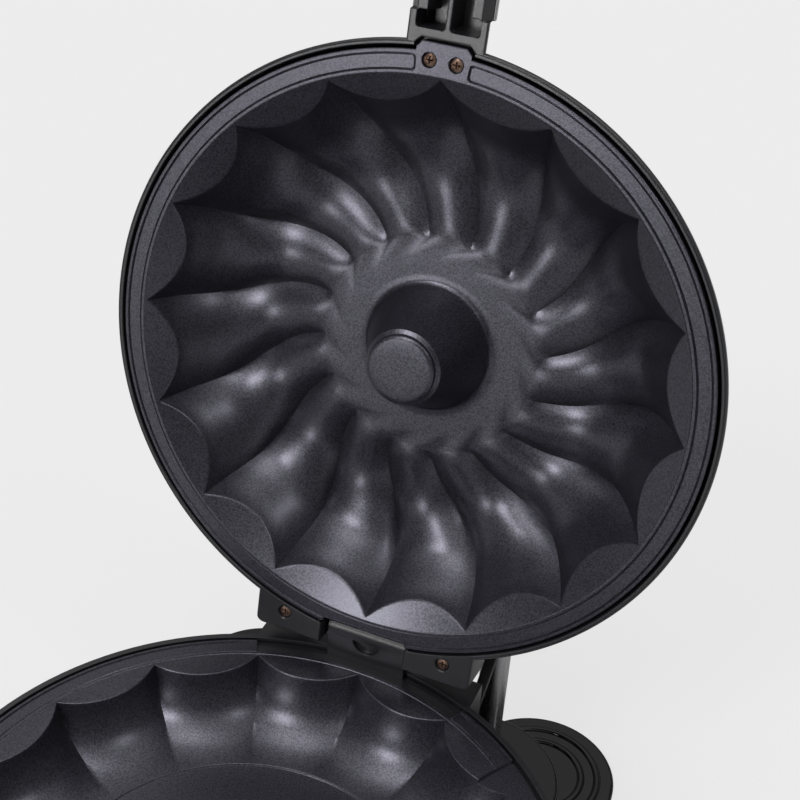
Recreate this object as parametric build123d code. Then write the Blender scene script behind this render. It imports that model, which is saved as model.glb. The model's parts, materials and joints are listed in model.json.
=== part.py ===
from build123d import *
import math
import os

# Electric pie maker with a swirled ring mould in the lid and a scalloped bowl in the base.
# Sizes in millimetres. Local frame: bowl axis on Z, rim plane at z = 0, hinge towards +Y.

# Mould and flange
rim_radius = 140
flange_radius = 152.2
flange_thickness = 4
flute_count = 16
plate_wall = 3.2
band_inner_radius = 142.2
band_outer_radius = 150.6
band_depth = 0.6
band_gap_angle = 12
tab_half_width = 13
tab_front_y = -155
lip_start_angle = 18
lip_sweep_angle = 36
lip_depth = 2.2

# Lid mould, as (radius, depth) of the fold lines and of the crests between them
lid_fold = [(142, -5), (135.5, 8), (129.5, 19), (120.5, 30.5), (109, 41), (93, 45), (77, 42.8), (63, 40.6)]
lid_crest = [(130.5, -5), (126.7, 8), (120, 19), (111.5, 29.5), (101, 36), (89, 39.3), (76, 40), (62.5, 39.4)]
lid_twist = [0, 0, 0, 0, 1.2, 5, 10.1, 13.4]
floor_radius = 50
floor_depth = 38.5
floor_twist = 11.7
lunette_radius = 126.5
lunette_depth = 8.4
core_base_radius = 32.4
core_top_radius = 19.5
core_cap_radius = 17.2
core_cap_height = 3
core_clearance = 0.4

# Base bowl, as (radius, depth) in the same way
bowl_fold = [(141, -4), (139.4, 0), (136, 8), (130.5, 16), (121.5, 23.5), (108, 29)]
bowl_crest = [(127.6, -4), (126.2, 0), (123.6, 8), (119.5, 16), (113.5, 22.8), (103.5, 28.6)]
bowl_floor_radius = 92
bowl_floor_depth = 31.3
bowl_floor_step = 0.7

# Housings
housing_radius = 155.5
housing_wall = 2.6
seat_clearance = 0.35
lid_rim_height = 12
lid_dome_height = 71
rim_height = 105
foot_height = 10
bottom_cover_thickness = 3
base_foot_radius = 142
base_skirt_depth = 14

# Hinge
hinge_y = 156
hinge_z = 15.9
lid_gap = 0.6
open_angle = 100.8
knuckle_radius = 8.5
lug_inner_x = 23.5
lug_outer_x = 60.5
lug_rear_y = 160.4
knuckle_half_width = 22
knuckle_front_y = 147.6
notch_clearance = 0.6
shelf_half_width = 61.5
shelf_rear_y = 162
shelf_depth = 25
sweep_clearance = 0.6
pin_radius = 3
pin_running_clearance = 0.05

# Handles and latch
handle_half_width = 18.5
handle_front_y = -214
handle_height = 22
handle_wall = 2.2
handle_cover_thickness = 3
latch_half_width = 9
latch_thickness = 4
latch_clearance = 0.5
latch_pin_radius = 1.6
latch_pivot_height = 12
latch_release_angle = 24
latch_hook_length = 7

# Rear feet, posts and ties
foot_x = 88.8
foot_y = 203.7
foot_radius = 44.4
foot_disc_height = 8
saddle_x = 60
saddle_y = 171
saddle_radius = 48
saddle_height = 25
post_x = 58
post_y = 196
post_radius = 8
post_socket_depth = 12
post_top = 42.1
post_tip_height = 7
tie_radius = 2
tie_z = -17
tie_x = 57.5

# Fittings
screw_head_radius = 3.6
screw_head_height = 1.9
screw_shank_radius = 1.9
screw_length = 11
tab_screw_x = 6.4
tab_screw_y = -147
lug_screw_x = 44.6
lug_screw_y = 151.2
heater_radius = 3.3
heater_ring_radius = 82
heater_ends = (-70, 250)
lamp_radius = 3.5
lamp_spacing = 16
lamp_y = -60
front_foot_x = 84
front_foot_y = -92
gland_radius = 8

# Final frame: table plane at z = 0, box centre above the origin
bowl_axis_y = -20.4

step_angle = 360 / flute_count
turns = [-1, 1]
lid_boss_z = floor_depth + plate_wall + 2
lid_back = lid_fold[5][1] + plate_wall
base_back = -bowl_floor_depth - bowl_floor_step - plate_wall


def turned(*points):
    """Solid of revolution about Z from (radius, z) corners."""
    outline = Polyline(*[(radius, 0, z) for radius, z in points], close=True)
    return revolve(make_face(outline), Axis.Z)


def block(x0, x1, y0, y1, z0, z1):
    """Upright box between its lowest and highest corners."""
    middle = ((x0 + x1) / 2, (y0 + y1) / 2, (z0 + z1) / 2)
    return Pos(*middle) * Box(x1 - x0, y1 - y0, z1 - z0)


def rod(radius, x0, x1, y, z):
    """Cylinder along X."""
    return Pos((x0 + x1) / 2, y, z) * Rot(Y=90) * Cylinder(radius, x1 - x0)


def post(radius, x, y, z0, z1):
    """Cylinder along Z."""
    return Pos(x, y, (z0 + z1) / 2) * Cylinder(radius, z1 - z0)


def spot(radius, z, angle):
    """Point at a radius, height and angle about Z."""
    turn = math.radians(angle)
    return (radius * math.cos(turn), radius * math.sin(turn), z)


def scalloped_ring(fold, crest, twist, direction):
    """Closed ring of arcs that bulge inwards and meet in cusps on the fold lines."""
    arcs = []
    for index in range(flute_count):
        start = index * step_angle + twist
        first = spot(fold[0], direction * fold[1], start)
        middle = spot(crest[0], direction * crest[1], start + step_angle / 2)
        last = spot(fold[0], direction * fold[1], start + step_angle)
        arcs.append(ThreePointArc(first, middle, last))
    return Wire(arcs)


def mould_core(folds, crests, twists, end_radius, end_depth, end_twist, direction):
    """Solid cake: a loft through scalloped rings down to a round floor."""
    rings = [scalloped_ring(*row, direction) for row in zip(folds, crests, twists)]
    end = (end_radius, end_depth)
    rings.append(scalloped_ring(end, end, end_twist, direction))
    return Solid.make_loft(rings)


def opened(piece):
    """Swing a piece of the closed lid up to the resting angle."""
    lifted = Pos(0, 0, lid_gap) * piece
    return Pos(0, hinge_y, hinge_z) * Rot(X=-open_angle) * Pos(0, -hinge_y, -hinge_z) * lifted


def placed(piece):
    """Move from the local frame to the frame on the table."""
    return Pos(0, bowl_axis_y, rim_height) * piece


def hinge_notch(depth, clearance):
    """Space that the base knuckle takes out of the lid rim."""
    half = knuckle_half_width + clearance
    return block(-half, half, knuckle_front_y - clearance, hinge_y + 30, -depth, 40)


def band_groove(z, direction):
    """Shallow band round the flange that stops short of the front tab."""
    depth = direction * band_depth
    corners = [(band_inner_radius, z), (band_outer_radius, z), (band_outer_radius, z + depth), (band_inner_radius, z + depth)]
    outline = Polyline(*[(radius, 0, height) for radius, height in corners], close=True)
    ring = revolve(make_face(outline), Axis.Z, 360 - band_gap_angle)
    return Rot(Z=-90 + band_gap_angle / 2) * ring


def screw(x, y, z, direction):
    """Countersunk cross-head screw with its head at z."""
    head = Cone(screw_shank_radius, screw_head_radius, screw_head_height)
    shank = Pos(0, 0, -screw_length / 2) * Cylinder(screw_shank_radius, screw_length)
    cross = Box(screw_head_radius * 1.2, 0.9, 1.6) + Box(0.9, screw_head_radius * 1.2, 1.6)
    body = Pos(0, 0, -screw_head_height / 2) * head + shank - cross
    tilt = 0 if direction > 0 else 180
    return Pos(x, y, z) * Rot(X=tilt) * body


def screw_hole(x, y, z, direction):
    """Countersink and clearance hole for a screw."""
    recess = 1.2
    head = Cone(screw_shank_radius + 0.2, screw_head_radius + 0.4, screw_head_height + 0.2)
    mouth = Pos(0, 0, recess / 2) * Cylinder(screw_head_radius + 0.6, recess)
    shank = Pos(0, 0, -screw_length / 2) * Cylinder(screw_shank_radius + 0.1, screw_length + 0.4)
    body = Pos(0, 0, -screw_head_height / 2) * head + shank + mouth
    tilt = 0 if direction > 0 else 180
    return Pos(x, y, z) * Rot(X=tilt) * body


def lid_plate():
    """Cast mould with sixteen swirled lobes, a centre core and a grooved flange."""
    back = [
        (0, lid_boss_z),
        (20, lid_boss_z),
        (60, lid_boss_z + 2),
        (heater_ring_radius - 6, lid_back),
        (97, lid_back),
        (113, 41 + plate_wall),
        (125, 30.5 + plate_wall),
        (134, 19 + plate_wall),
        (140, 8 + plate_wall),
        (144, flange_thickness),
        (flange_radius, flange_thickness),
        (flange_radius, 0),
        (0, 0),
    ]
    body = turned(*back)
    cake = mould_core(lid_fold, lid_crest, lid_twist, floor_radius, floor_depth, floor_twist, 1)
    draft = turned((0, -1), (rim_radius + 1.6, -1), (lunette_radius, lunette_depth), (0, lunette_depth))
    body = body - draft - cake
    core = turned(
        (0, core_clearance),
        (core_cap_radius - 1.5, core_clearance),
        (core_cap_radius, core_clearance + 1.5),
        (core_cap_radius, core_cap_height),
        (core_top_radius, core_cap_height + 1.2),
        (core_base_radius, floor_depth),
        (core_base_radius, floor_depth + 2),
        (0, floor_depth + 2),
    )
    tab = block(-tab_half_width, tab_half_width, tab_front_y, -148, 0, flange_thickness)
    tab = chamfer(tab.edges().filter_by(Axis.Z).group_by(Axis.Y)[0], 2.4)
    body = body + core + tab - band_groove(0, 1) - hinge_notch(5, notch_clearance)
    for side in turns:
        body = body - screw_hole(side * tab_screw_x, tab_screw_y, 1.2, -1)
    return body


def dome_profile(offset, top):
    """Corners of the lid dome, inset by an offset."""
    return [
        (housing_radius - offset, lid_rim_height - offset * 0.4),
        (151 - offset, 22 - offset * 0.5),
        (139 - offset, 40 - offset * 0.7),
        (124 - offset * 0.8, 57 - offset),
        (100, top - 4),
        (70, top),
        (0, top),
    ]


def handle_body(direction):
    """Hollow grip with a centre rib, its open side towards the other half."""
    z0, z1 = sorted((direction * 0.3, direction * handle_height))
    grip = block(-handle_half_width, handle_half_width, handle_front_y, -153, z0, z1)
    grip = fillet(grip.edges().filter_by(Axis.Z).group_by(Axis.Y)[0], 6)
    for side in turns:
        inner, outer = sorted((side * 1.6, side * (handle_half_width - handle_wall)))
        low, high = sorted((-direction, direction * (handle_height - handle_wall)))
        grip = grip - block(inner, outer, handle_front_y + 7, -161, low, high)
        step_in, step_out = sorted((side * 1.6, side * (handle_half_width - 6.5)))
        low, high = sorted((-direction, direction * 9))
        grip = grip - block(step_in, step_out, -162, -157.5, low, high)
    return grip


def lid_housing():
    """Moulded dome with a rim round the mould plate, two hinge lugs and the grip."""
    outer = turned((0, 0), (housing_radius, 0), *dome_profile(0, lid_dome_height))
    inner = turned((0, -1), (flange_radius + seat_clearance, -1),
                   *dome_profile(housing_wall, lid_dome_height - housing_wall))
    shell = outer - inner
    ledge = turned((144.6, flange_thickness + 0.1), (154, flange_thickness + 0.1), (154, flange_thickness + 3),
                   (144.6, flange_thickness + 3))
    shell = shell + ledge
    neck = block(-handle_half_width, handle_half_width, -157, -148, flange_thickness + 0.1, handle_height)
    shell = shell + neck + handle_body(1)
    half = tab_half_width + 0.4
    shell = shell - block(-half, half, tab_front_y - 0.4, -140, -1, flange_thickness + 0.1)
    for side in turns:
        shell = shell + hinge_lug(side)
    shell = shell - hinge_notch(5, notch_clearance)
    for side in turns:
        reach = pin_radius + pin_running_clearance
        shell = shell - rod(reach, *sorted((side * 20, side * 58)), hinge_y, hinge_z - lid_gap)
        shell = shell - screw_hole(side * lug_screw_x, lug_screw_y, 1.6, -1)
        shell = shell - screw_hole(side * tab_screw_x, tab_screw_y, 1.2, -1)
        shell = shell - post(lamp_radius + 0.1, side * lamp_spacing / 2, lamp_y, 50, 90)
    return shell


def hinge_lug(side):
    """Arm at the back of the lid, flush with the flange and round the hinge pin."""
    axis_z = hinge_z - lid_gap
    x0, x1 = sorted((side * lug_inner_x, side * lug_outer_x))
    arm = block(x0, x1, 143, lug_rear_y, 0, axis_z + knuckle_radius)
    arm = fillet(arm.edges().filter_by(Axis.X).group_by(Axis.Y)[-1], 3.5)
    corner = arm.edges().filter_by(Axis.Z).sort_by(lambda edge: side * edge.center().X + edge.center().Y)[-1]
    arm = fillet(corner, 4)
    eye = rod(knuckle_radius, x0, x1, hinge_y, axis_z)
    lug = arm + eye - turned((0, -1), (flange_radius + seat_clearance, -1), (flange_radius + seat_clearance, 30), (0, 30))
    return lug


def lid_handle_cover():
    """Glossy cap that lies on the outer face of the lid grip."""
    half = handle_half_width + 1.3
    z0 = handle_height
    cap = block(-half, half, handle_front_y - 1.3, -158, z0, z0 + handle_cover_thickness)
    return fillet(cap.edges().filter_by(Axis.Z).group_by(Axis.Y)[0], 7)


def latch():
    """Clip on the front of the lid grip that hooks under the base grip."""
    front = handle_front_y - latch_clearance
    reach = -(handle_height + lid_gap + latch_clearance)
    middle = front - latch_thickness / 2
    strap = block(-latch_half_width, latch_half_width, front - latch_thickness, front, reach - 3, latch_pivot_height)
    strap = strap + rod(latch_thickness / 2 + 0.4, -latch_half_width, latch_half_width, middle, latch_pivot_height)
    hook = block(-latch_half_width, latch_half_width, front - latch_thickness, front + latch_hook_length, reach - 3, reach)
    tail = block(-latch_half_width, latch_half_width, front - 12, front - 1, reach - 3, reach)
    pin = rod(latch_pin_radius, -latch_half_width, latch_half_width, middle, latch_pivot_height)
    return strap + hook + tail - pin


def latch_pin():
    """Pin of the latch, held in two ears of the grip."""
    y = handle_front_y - latch_clearance - latch_thickness / 2
    reach = latch_half_width + 3.4
    return rod(latch_pin_radius - pin_running_clearance, -reach, reach, y, latch_pivot_height)


def latch_ears():
    """Ears on the front of the lid grip that carry the latch pin."""
    y = handle_front_y - latch_clearance - latch_thickness / 2
    ears = []
    for side in turns:
        x0, x1 = sorted((side * (latch_half_width + 0.4), side * (latch_half_width + 3.4)))
        ear = block(x0, x1, y, handle_front_y + 3, latch_pivot_height - 4, latch_pivot_height + 4)
        ears.append(ear + rod(4, x0, x1, y, latch_pivot_height))
    pin = rod(latch_pin_radius - pin_running_clearance, -20, 20, y, latch_pivot_height)
    return ears[0] + ears[1] - pin


def heater(z, direction):
    """Tubular element bent into an open ring, with its two cold ends."""
    ring = revolve(Pos(heater_ring_radius, 0, z) * Rot(X=90) * Circle(heater_radius), Axis.Z, heater_ends[1] - heater_ends[0])
    element = Rot(Z=heater_ends[0]) * ring
    for angle in heater_ends:
        x, y, level = spot(heater_ring_radius, z, angle)
        low, high = sorted((level, level + direction * 7))
        element = element + post(heater_radius * 0.7, x, y, low, high)
    return element


def thermostat(z, direction):
    """Disc thermostat with its two blades, seated on the back of a plate."""
    low, high = sorted((z, z + direction * 6))
    body = post(9, 0, 0, low, high)
    for side in turns:
        low, high = sorted((z + direction * 5.5, z + direction * 9))
        body = body + block(*sorted((side * 4, side * 4.8)), -3, 3, low, high)
    return body


def reflector(z, thickness, outer):
    """Sheet ring that lies on the heater and turns its heat to the plate."""
    sheet = turned((14, z), (outer, z), (outer, z + thickness), (14, z + thickness))
    for angle in heater_ends:
        x, y, level = spot(heater_ring_radius, z, angle)
        sheet = sheet - post(heater_radius * 0.7 + 1, x, y, z - 5, z + 5)
    return sheet


def indicator_lenses():
    """Two lamp lenses in the top of the dome."""
    lenses = []
    for side in turns:
        x = side * lamp_spacing / 2
        lens = post(lamp_radius, x, lamp_y, lid_dome_height - 7, lid_dome_height + 0.6)
        lens = fillet(lens.edges().group_by(Axis.Z)[-1], 0.5)
        lenses.append(lens)
    return Compound(children=lenses)


def base_plate():
    """Cast bowl whose scallops fade into a smooth floor, with a pouring lip on its right."""
    back = [
        (0, 0),
        (flange_radius, 0),
        (flange_radius, -flange_thickness),
        (145, -flange_thickness),
        (139.6, -10 - plate_wall),
        (134, -18 - plate_wall),
        (122, -26 - plate_wall),
        (106, base_back),
        (0, base_back),
    ]
    body = turned(*back)
    twists = [0] * len(bowl_fold)
    cake = mould_core(bowl_fold, bowl_crest, twists, bowl_floor_radius, bowl_floor_depth, 0, -1)
    floor = post(bowl_floor_radius - 0.6, 0, 0, -bowl_floor_depth - bowl_floor_step, -bowl_floor_depth + 1)
    lip = turned((112, 1), (flange_radius + 1, 1), (flange_radius + 1, -lip_depth), (129, -lip_depth),
                 (124, -lip_depth - 3), (118, -lip_depth - 10), (112, -lip_depth - 18))
    wedge = lip & sector(lip_start_angle, lip_sweep_angle)
    body = body - cake - floor - wedge
    return body - shelf_seat()


def sector(start, sweep):
    """Tall wedge about Z between two angles."""
    reach = housing_radius * 1.3
    outline = Polyline((0, 0), spot(reach, 0, start)[:2], spot(reach * 1.1, 0, start + sweep / 2)[:2],
                       spot(reach, 0, start + sweep)[:2], close=True)
    return extrude(Pos(0, 0, -60) * make_face(outline), 120)


def shelf_seat():
    """Space of the hinge shelf behind the base plate."""
    half = knuckle_half_width + 0.3
    return block(-half, half, knuckle_front_y - 0.3, 200, -60, 10)


def base_profile(offset):
    """Corners of the base housing wall, inset by an offset."""
    bottom = -rim_height + foot_height
    return [
        (housing_radius - offset, -base_skirt_depth + offset * 0.3),
        (150 - offset, -base_skirt_depth - 8 + offset * 0.3),
        (base_foot_radius - offset, bottom),
    ]


def base_envelope():
    """Full outer form of the base, without its hollow."""
    bottom = -rim_height + foot_height
    return turned((0, 0), (housing_radius, 0), *base_profile(0), (0, bottom))


def base_housing():
    """Moulded tub with a hinge shelf, a knuckle and the lower grip."""
    bottom = -rim_height + foot_height
    inner = turned((0, 1), (flange_radius + seat_clearance, 1), *base_profile(housing_wall), (base_foot_radius - housing_wall, bottom - 1), (0, bottom - 1))
    shelf = block(-shelf_half_width, shelf_half_width, 120, shelf_rear_y, -shelf_depth, -1)
    slope = Pos(0, shelf_rear_y, -1) * Rot(X=-12) * Box(2 * shelf_half_width + 4, 24, 10, align=(Align.CENTER, Align.CENTER, Align.MIN))
    shelf = shelf - slope
    knuckle = block(-knuckle_half_width, knuckle_half_width, knuckle_front_y, hinge_y + knuckle_radius, -shelf_depth, hinge_z)
    knuckle = knuckle + rod(knuckle_radius, -knuckle_half_width, knuckle_half_width, hinge_y, hinge_z)
    shell = base_envelope() + shelf
    shell = shell - inner
    ledge = turned((145.4, -flange_thickness - 0.1), (154, -flange_thickness - 0.1), (154, -flange_thickness - 3),
                   (145.4, -flange_thickness - 3))
    shell = shell + ledge + (knuckle - turned((0, 5), (145, 5), (145, -80), (0, -80)))
    sweep = math.hypot(lug_rear_y - hinge_y, hinge_z - lid_gap) + sweep_clearance
    for side in turns:
        x0, x1 = sorted((side * (lug_inner_x - 0.6), side * (lug_outer_x + 4)))
        shell = shell - rod(sweep, x0, x1, hinge_y, hinge_z)
    shell = shell - rod(pin_radius, -knuckle_half_width - 1, knuckle_half_width + 1, hinge_y, hinge_z)
    recess = Pos(0, knuckle_front_y, hinge_z - 2) * Rot(X=90) * Cylinder(7.5, 5) & block(-9, 9, 140, 160, -10, hinge_z - 2)
    shell = shell - recess + handle_body(-1)
    neck = block(-handle_half_width, handle_half_width, -156, -153, -handle_height, -0.3)
    shell = shell + neck - post(gland_radius - 2, 0, 0, 0, 0.001)
    gland_hole = Pos(0, base_foot_radius, bottom + 22) * Rot(X=90) * Cylinder(gland_radius - 2.2, 40)
    return shell - gland_hole


def cord_gland():
    """Round inlet bush in the back of the base."""
    y = base_foot_radius + 2.5
    flange = Pos(0, y + 1.5, -rim_height + foot_height + 22) * Rot(X=90) * Cylinder(gland_radius, 5)
    neck = Pos(0, y - 3, -rim_height + foot_height + 22) * Rot(X=90) * Cylinder(gland_radius - 2.4, 12)
    bore = Pos(0, y, -rim_height + foot_height + 22) * Rot(X=90) * Cylinder(3.4, 40)
    return flange + neck - bore - base_envelope() + (neck - bore)


def bottom_cover():
    """Flat base cover with rings of vent slots."""
    bottom = -rim_height + foot_height
    radius = base_foot_radius - housing_wall - seat_clearance
    plate = post(radius, 0, 0, bottom, bottom + bottom_cover_thickness)
    slots = []
    for index in range(12):
        slot = Rot(Z=index * 30 + 15) * Pos(88, 0, bottom) * Box(34, 5, 12)
        slots.append(slot)
    for slot in slots:
        plate = plate - slot
    return plate


def front_feet():
    """Two rubber feet under the front of the base."""
    bottom = -rim_height
    feet = []
    for side in turns:
        foot = Pos(side * front_foot_x, front_foot_y, bottom + foot_height / 2) * Cone(9, 12, foot_height)
        feet.append(foot)
    return Compound(children=feet)


def rear_foot(side):
    """Round ringed foot with a raised saddle against the back of the base."""
    floor = -rim_height
    disc = post(foot_radius, side * foot_x, foot_y, floor, floor + foot_disc_height)
    disc = fillet(disc.edges().group_by(Axis.Z)[-1], 2)
    for share in (0.57, 0.78):
        ring = foot_radius * share
        groove = turned((ring - 1.1, 1), (ring + 1.1, 1), (ring + 1.1, -1.2), (ring - 1.1, -1.2))
        disc = disc - Pos(side * foot_x, foot_y, floor + foot_disc_height) * groove
    saddle = post(saddle_radius, side * saddle_x, saddle_y, floor, floor + saddle_height)
    saddle = saddle & block(-200, 200, 0, 220, floor, 0)
    half = block(*sorted((side * 12, side * 120)), 90, 230, floor - 1, 0)
    saddle = fillet(saddle.edges().group_by(Axis.Z)[-1], 2) & half
    socket = post(post_radius, side * post_x, post_y, floor + saddle_height - post_socket_depth, 0)
    return disc + saddle - socket - base_envelope()


def lid_post(side):
    """Polished steel post that the open lid leans on."""
    floor = -rim_height + saddle_height - post_socket_depth
    return post(post_radius, side * post_x, post_y, floor, post_top - post_tip_height)


def post_tip(side):
    """Rounded rubber cap on top of a post."""
    tip = post(post_radius, side * post_x, post_y, post_top - post_tip_height, post_top)
    return fillet(tip.edges().group_by(Axis.Z)[-1], 3)


def post_tie(side):
    """Short tie that holds a post to the hinge shelf."""
    x = side * tie_x
    start = shelf_rear_y
    end = post_y - 2
    bar = Pos(x, (start + end) / 2, tie_z) * Rot(X=90) * Cylinder(tie_radius, end - start)
    collar = post(post_radius + 1.6, side * post_x, post_y, tie_z - 4, tie_z + 4)
    shaft = post(post_radius, side * post_x, post_y, tie_z - 20, tie_z + 20)
    return bar + collar - shaft


def hinge_pin():
    """Steel pin through the base knuckle and both lid lugs."""
    return rod(pin_radius, -57, 57, hinge_y, hinge_z)


def screws(places, z, direction):
    """A group of identical screws."""
    return Compound(children=[screw(x, y, z, direction) for x, y in places])


tab_places = [(side * tab_screw_x, tab_screw_y) for side in turns]
lug_places = [(side * lug_screw_x, lug_screw_y) for side in turns]

closed_lid = {
    "lid_plate": lid_plate(),
    "lid_housing": lid_housing() + latch_ears(),
    "lid_handle_cover": lid_handle_cover(),
    "lid_heater": heater(lid_back + heater_radius + 0.1, 1),
    "lid_thermostat": thermostat(lid_boss_z, 1),
    "lid_reflector": reflector(lid_back + 2 * heater_radius + 0.3, 0.8, 96),
    "indicator_lenses": indicator_lenses(),
    "lid_front_screws": screws(tab_places, 1.2, -1),
    "lid_hinge_screws": screws(lug_places, 1.6, -1),
    "latch_pin": latch_pin(),
}
latch_y = handle_front_y - latch_clearance - latch_thickness / 2
latch_turn = Pos(0, latch_y, latch_pivot_height) * Rot(X=-latch_release_angle) * Pos(0, -latch_y, -latch_pivot_height)
closed_lid["latch"] = latch_turn * latch()

nodes = {name: opened(piece) for name, piece in closed_lid.items()}
nodes.update({
    "base_plate": base_plate(),
    "base_housing": base_housing(),
    "base_heater": heater(base_back - heater_radius - 0.1, -1),
    "base_thermostat": thermostat(base_back, -1),
    "base_reflector": reflector(base_back - 2 * heater_radius - 1.1, 0.8, 96),
    "bottom_cover": bottom_cover(),
    "cord_gland": cord_gland(),
    "front_feet": front_feet(),
    "hinge_pin": hinge_pin(),
})
for side, word in zip(turns, ("left", "right")):
    nodes["rear_foot_" + word] = rear_foot(side)
    nodes["lid_post_" + word] = lid_post(side)
    nodes["post_tip_" + word] = post_tip(side)
    nodes["post_tie_" + word] = post_tie(side)

os.makedirs("parts", exist_ok=True)
for name, piece in nodes.items():
    export_step(placed(piece), "parts/" + name + ".step")
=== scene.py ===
import json
import math

import bmesh
import bpy
import numpy as np
from mathutils import Matrix, Vector


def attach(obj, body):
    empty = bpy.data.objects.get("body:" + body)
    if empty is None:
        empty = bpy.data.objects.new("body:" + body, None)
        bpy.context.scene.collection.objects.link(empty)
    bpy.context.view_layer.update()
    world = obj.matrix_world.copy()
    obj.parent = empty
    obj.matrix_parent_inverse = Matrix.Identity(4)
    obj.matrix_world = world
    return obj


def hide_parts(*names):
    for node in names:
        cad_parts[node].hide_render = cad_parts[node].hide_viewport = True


# Electric pie maker: swirled ring mould in the open lid, scalloped bowl in the base.
# Shapes are worked out in local millimetres, with the bowl's axis on Z and its rim plane at 0, and placed
# in metres. Lid pieces are worked out for the closed lid, where z is the depth into the lid. Angles run
# round the bowl's axis from +X, so the grips are at 270 degrees and the hinge at 90.

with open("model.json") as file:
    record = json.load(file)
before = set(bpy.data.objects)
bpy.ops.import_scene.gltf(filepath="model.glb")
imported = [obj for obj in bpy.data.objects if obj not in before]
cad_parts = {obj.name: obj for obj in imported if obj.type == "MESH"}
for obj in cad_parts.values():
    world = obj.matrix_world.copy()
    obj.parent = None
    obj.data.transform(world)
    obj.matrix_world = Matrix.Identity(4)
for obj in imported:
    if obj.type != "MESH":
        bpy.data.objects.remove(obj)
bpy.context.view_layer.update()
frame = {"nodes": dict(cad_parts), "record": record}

# Places shared with the CAD frame, in millimetres
RIM_HEIGHT = 105
BOWL_AXIS_Y = -20.4
HINGE_Y, HINGE_Z = 156, 15.9
LID_GAP = 0.6
OPEN_ANGLE = math.radians(100.8)
SIDES = (("left", -1), ("right", 1))

# Both moulds
LOBES = 16
LOBE_ANGLE = 2 * math.pi / LOBES
LOBE_DEGREES = 360 / LOBES
FRONT = 270
RIM_RADIUS = 140
FLANGE_RADIUS = 151.1
FLANGE_THICKNESS = 4
COLUMNS_PER_LOBE = 28

# Sunk band of the flange: its two radii, the radius at which arc lengths are taken, the arc length from the
# front at which it stops, its round corners, and the depths of the band and of the groove along its edge
BAND_INNER, BAND_OUTER = 141.8, 149.2
ARC_RADIUS = 145
BAND_STOP = 12.5
BAND_CORNER = 2.2
BAND_DEPTH, GROOVE_DEPTH = 0.45, 0.95

# Front tab of the lid mould, hinge notch of mould and dome with the angles close beside its corners, and
# the screws' places
TAB_HALF, TAB_FRONT, TAB_CORNER = 13, -155, 2.4
TAB = [(-TAB_HALF, -150), (-TAB_HALF, TAB_FRONT + TAB_CORNER), (-TAB_HALF + TAB_CORNER, TAB_FRONT),
       (TAB_HALF - TAB_CORNER, TAB_FRONT), (TAB_HALF, TAB_FRONT + TAB_CORNER), (TAB_HALF, -150)]
NOTCH_HALF, NOTCH_Y = 22.6, 147
NOTCH = [(-NOTCH_HALF, 160), (-NOTCH_HALF, NOTCH_Y), (NOTCH_HALF, NOTCH_Y), (NOTCH_HALF, 160)]
NOTCH_DEGREES = [81.26, 81.46, 98.54, 98.74]
TAB_SCREW_X, TAB_SCREW_Y = 6.4, -147
LUG_SCREW_X, LUG_SCREW_Y = 44.6, 151.6

# Lobed walls from the mouth inwards: radius and depth of the folds between lobes and of the lobes' crests,
# and how many degrees the lobes have turned there
LID_FOLD = [(142, -5), (135.5, 8), (129.5, 19), (120.5, 30.5), (109, 41), (93, 46), (77, 45), (64, 42.3),
            (56, 38.8)]
LID_CREST = [(130.5, -5), (126.7, 8), (120, 19), (111.5, 29.5), (101, 35.5), (89, 40.2), (76, 40.2),
             (63.5, 38.4), (55.5, 38.5)]
LID_TWIST = [0, 0, 0, 0, 1.2, 5, 10.1, 13.2, 14.6]
LID_LUNETTE_SLOPE = 0.6225
BOWL_FOLD = [(141, -4), (139.4, 0), (136, 8), (130.5, 16), (121.5, 23.5), (108, 29), (92, 31.3)]
BOWL_CREST = [(127.6, -4), (126.2, 0), (123.6, 8), (119.5, 16), (113.5, 22.8), (103.5, 28.6), (92, 31.3)]
BOWL_TWIST = [0] * len(BOWL_FOLD)
BOWL_LUNETTE_SLOPE = 0.02
BOWL_LUNETTE_DROP = 0.3

# Radius and depth of the lid's core from its cap down its side to the flat ring, of the bowl's floor, and of
# the backs of both castings
LID_CORE = [(0, 0.4), (8, 0.4), (14.8, 0.4), (15.9, 0.55), (16.7, 1.0), (17.1, 1.6), (17.2, 2.4), (17.3, 3.1),
            (17.8, 3.5), (18.8, 3.8), (19.4, 4.2), (19.7, 5.0), (21, 8.5), (23.6, 15), (26.5, 22.5),
            (29.2, 29.5), (31.2, 34.6), (32.2, 36.9), (33.2, 38.0), (34.6, 38.5), (38, 38.5), (43, 38.5),
            (47, 38.5)]
LID_BACK = [(144, 4), (140, 11.2), (134, 22.2), (125, 33.7), (113, 44.2), (97, 48.2), (76, 48.2), (60, 45.7),
            (20, 43.7), (0, 43.7)]
BOWL_FLOOR = [(0, 32), (30, 32), (60, 32), (80, 32), (90.6, 32), (91.1, 31.9), (91.4, 31.6), (91.6, 31.2),
              (91.8, 31.1)]
BOWL_BACK = [(145, 4), (139.6, 13.2), (134, 21.2), (122, 29.2), (106, 35.2), (60, 35.2), (0, 35.2)]


def linear(hex_colour):
    """sRGB hex colour as linear RGBA."""
    parts = [int(hex_colour[i:i + 2], 16) / 255 for i in (1, 3, 5)]
    return [c / 12.92 if c <= 0.04045 else ((c + 0.055) / 1.055) ** 2.4 for c in parts] + [1]


def add(tree, kind, sockets, **settings):
    """Adds a node, sets its properties, and sets or links its inputs by name."""
    made = tree.nodes.new(kind)
    for name, value in settings.items():
        setattr(made, name, value)
    for name, value in sockets.items():
        if isinstance(value, bpy.types.NodeSocket):
            tree.links.new(value, made.inputs[name])
        else:
            made.inputs[name].default_value = value
    return made


# Noise stays near the middle of its range of 0 to 1, so each use spreads out this part of it
TONE_SPAN = (0.75, 1.25)
GLOSS_SPAN = (0.3, 0.7)
GLINT_SPAN = (0.38, 0.62)


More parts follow.
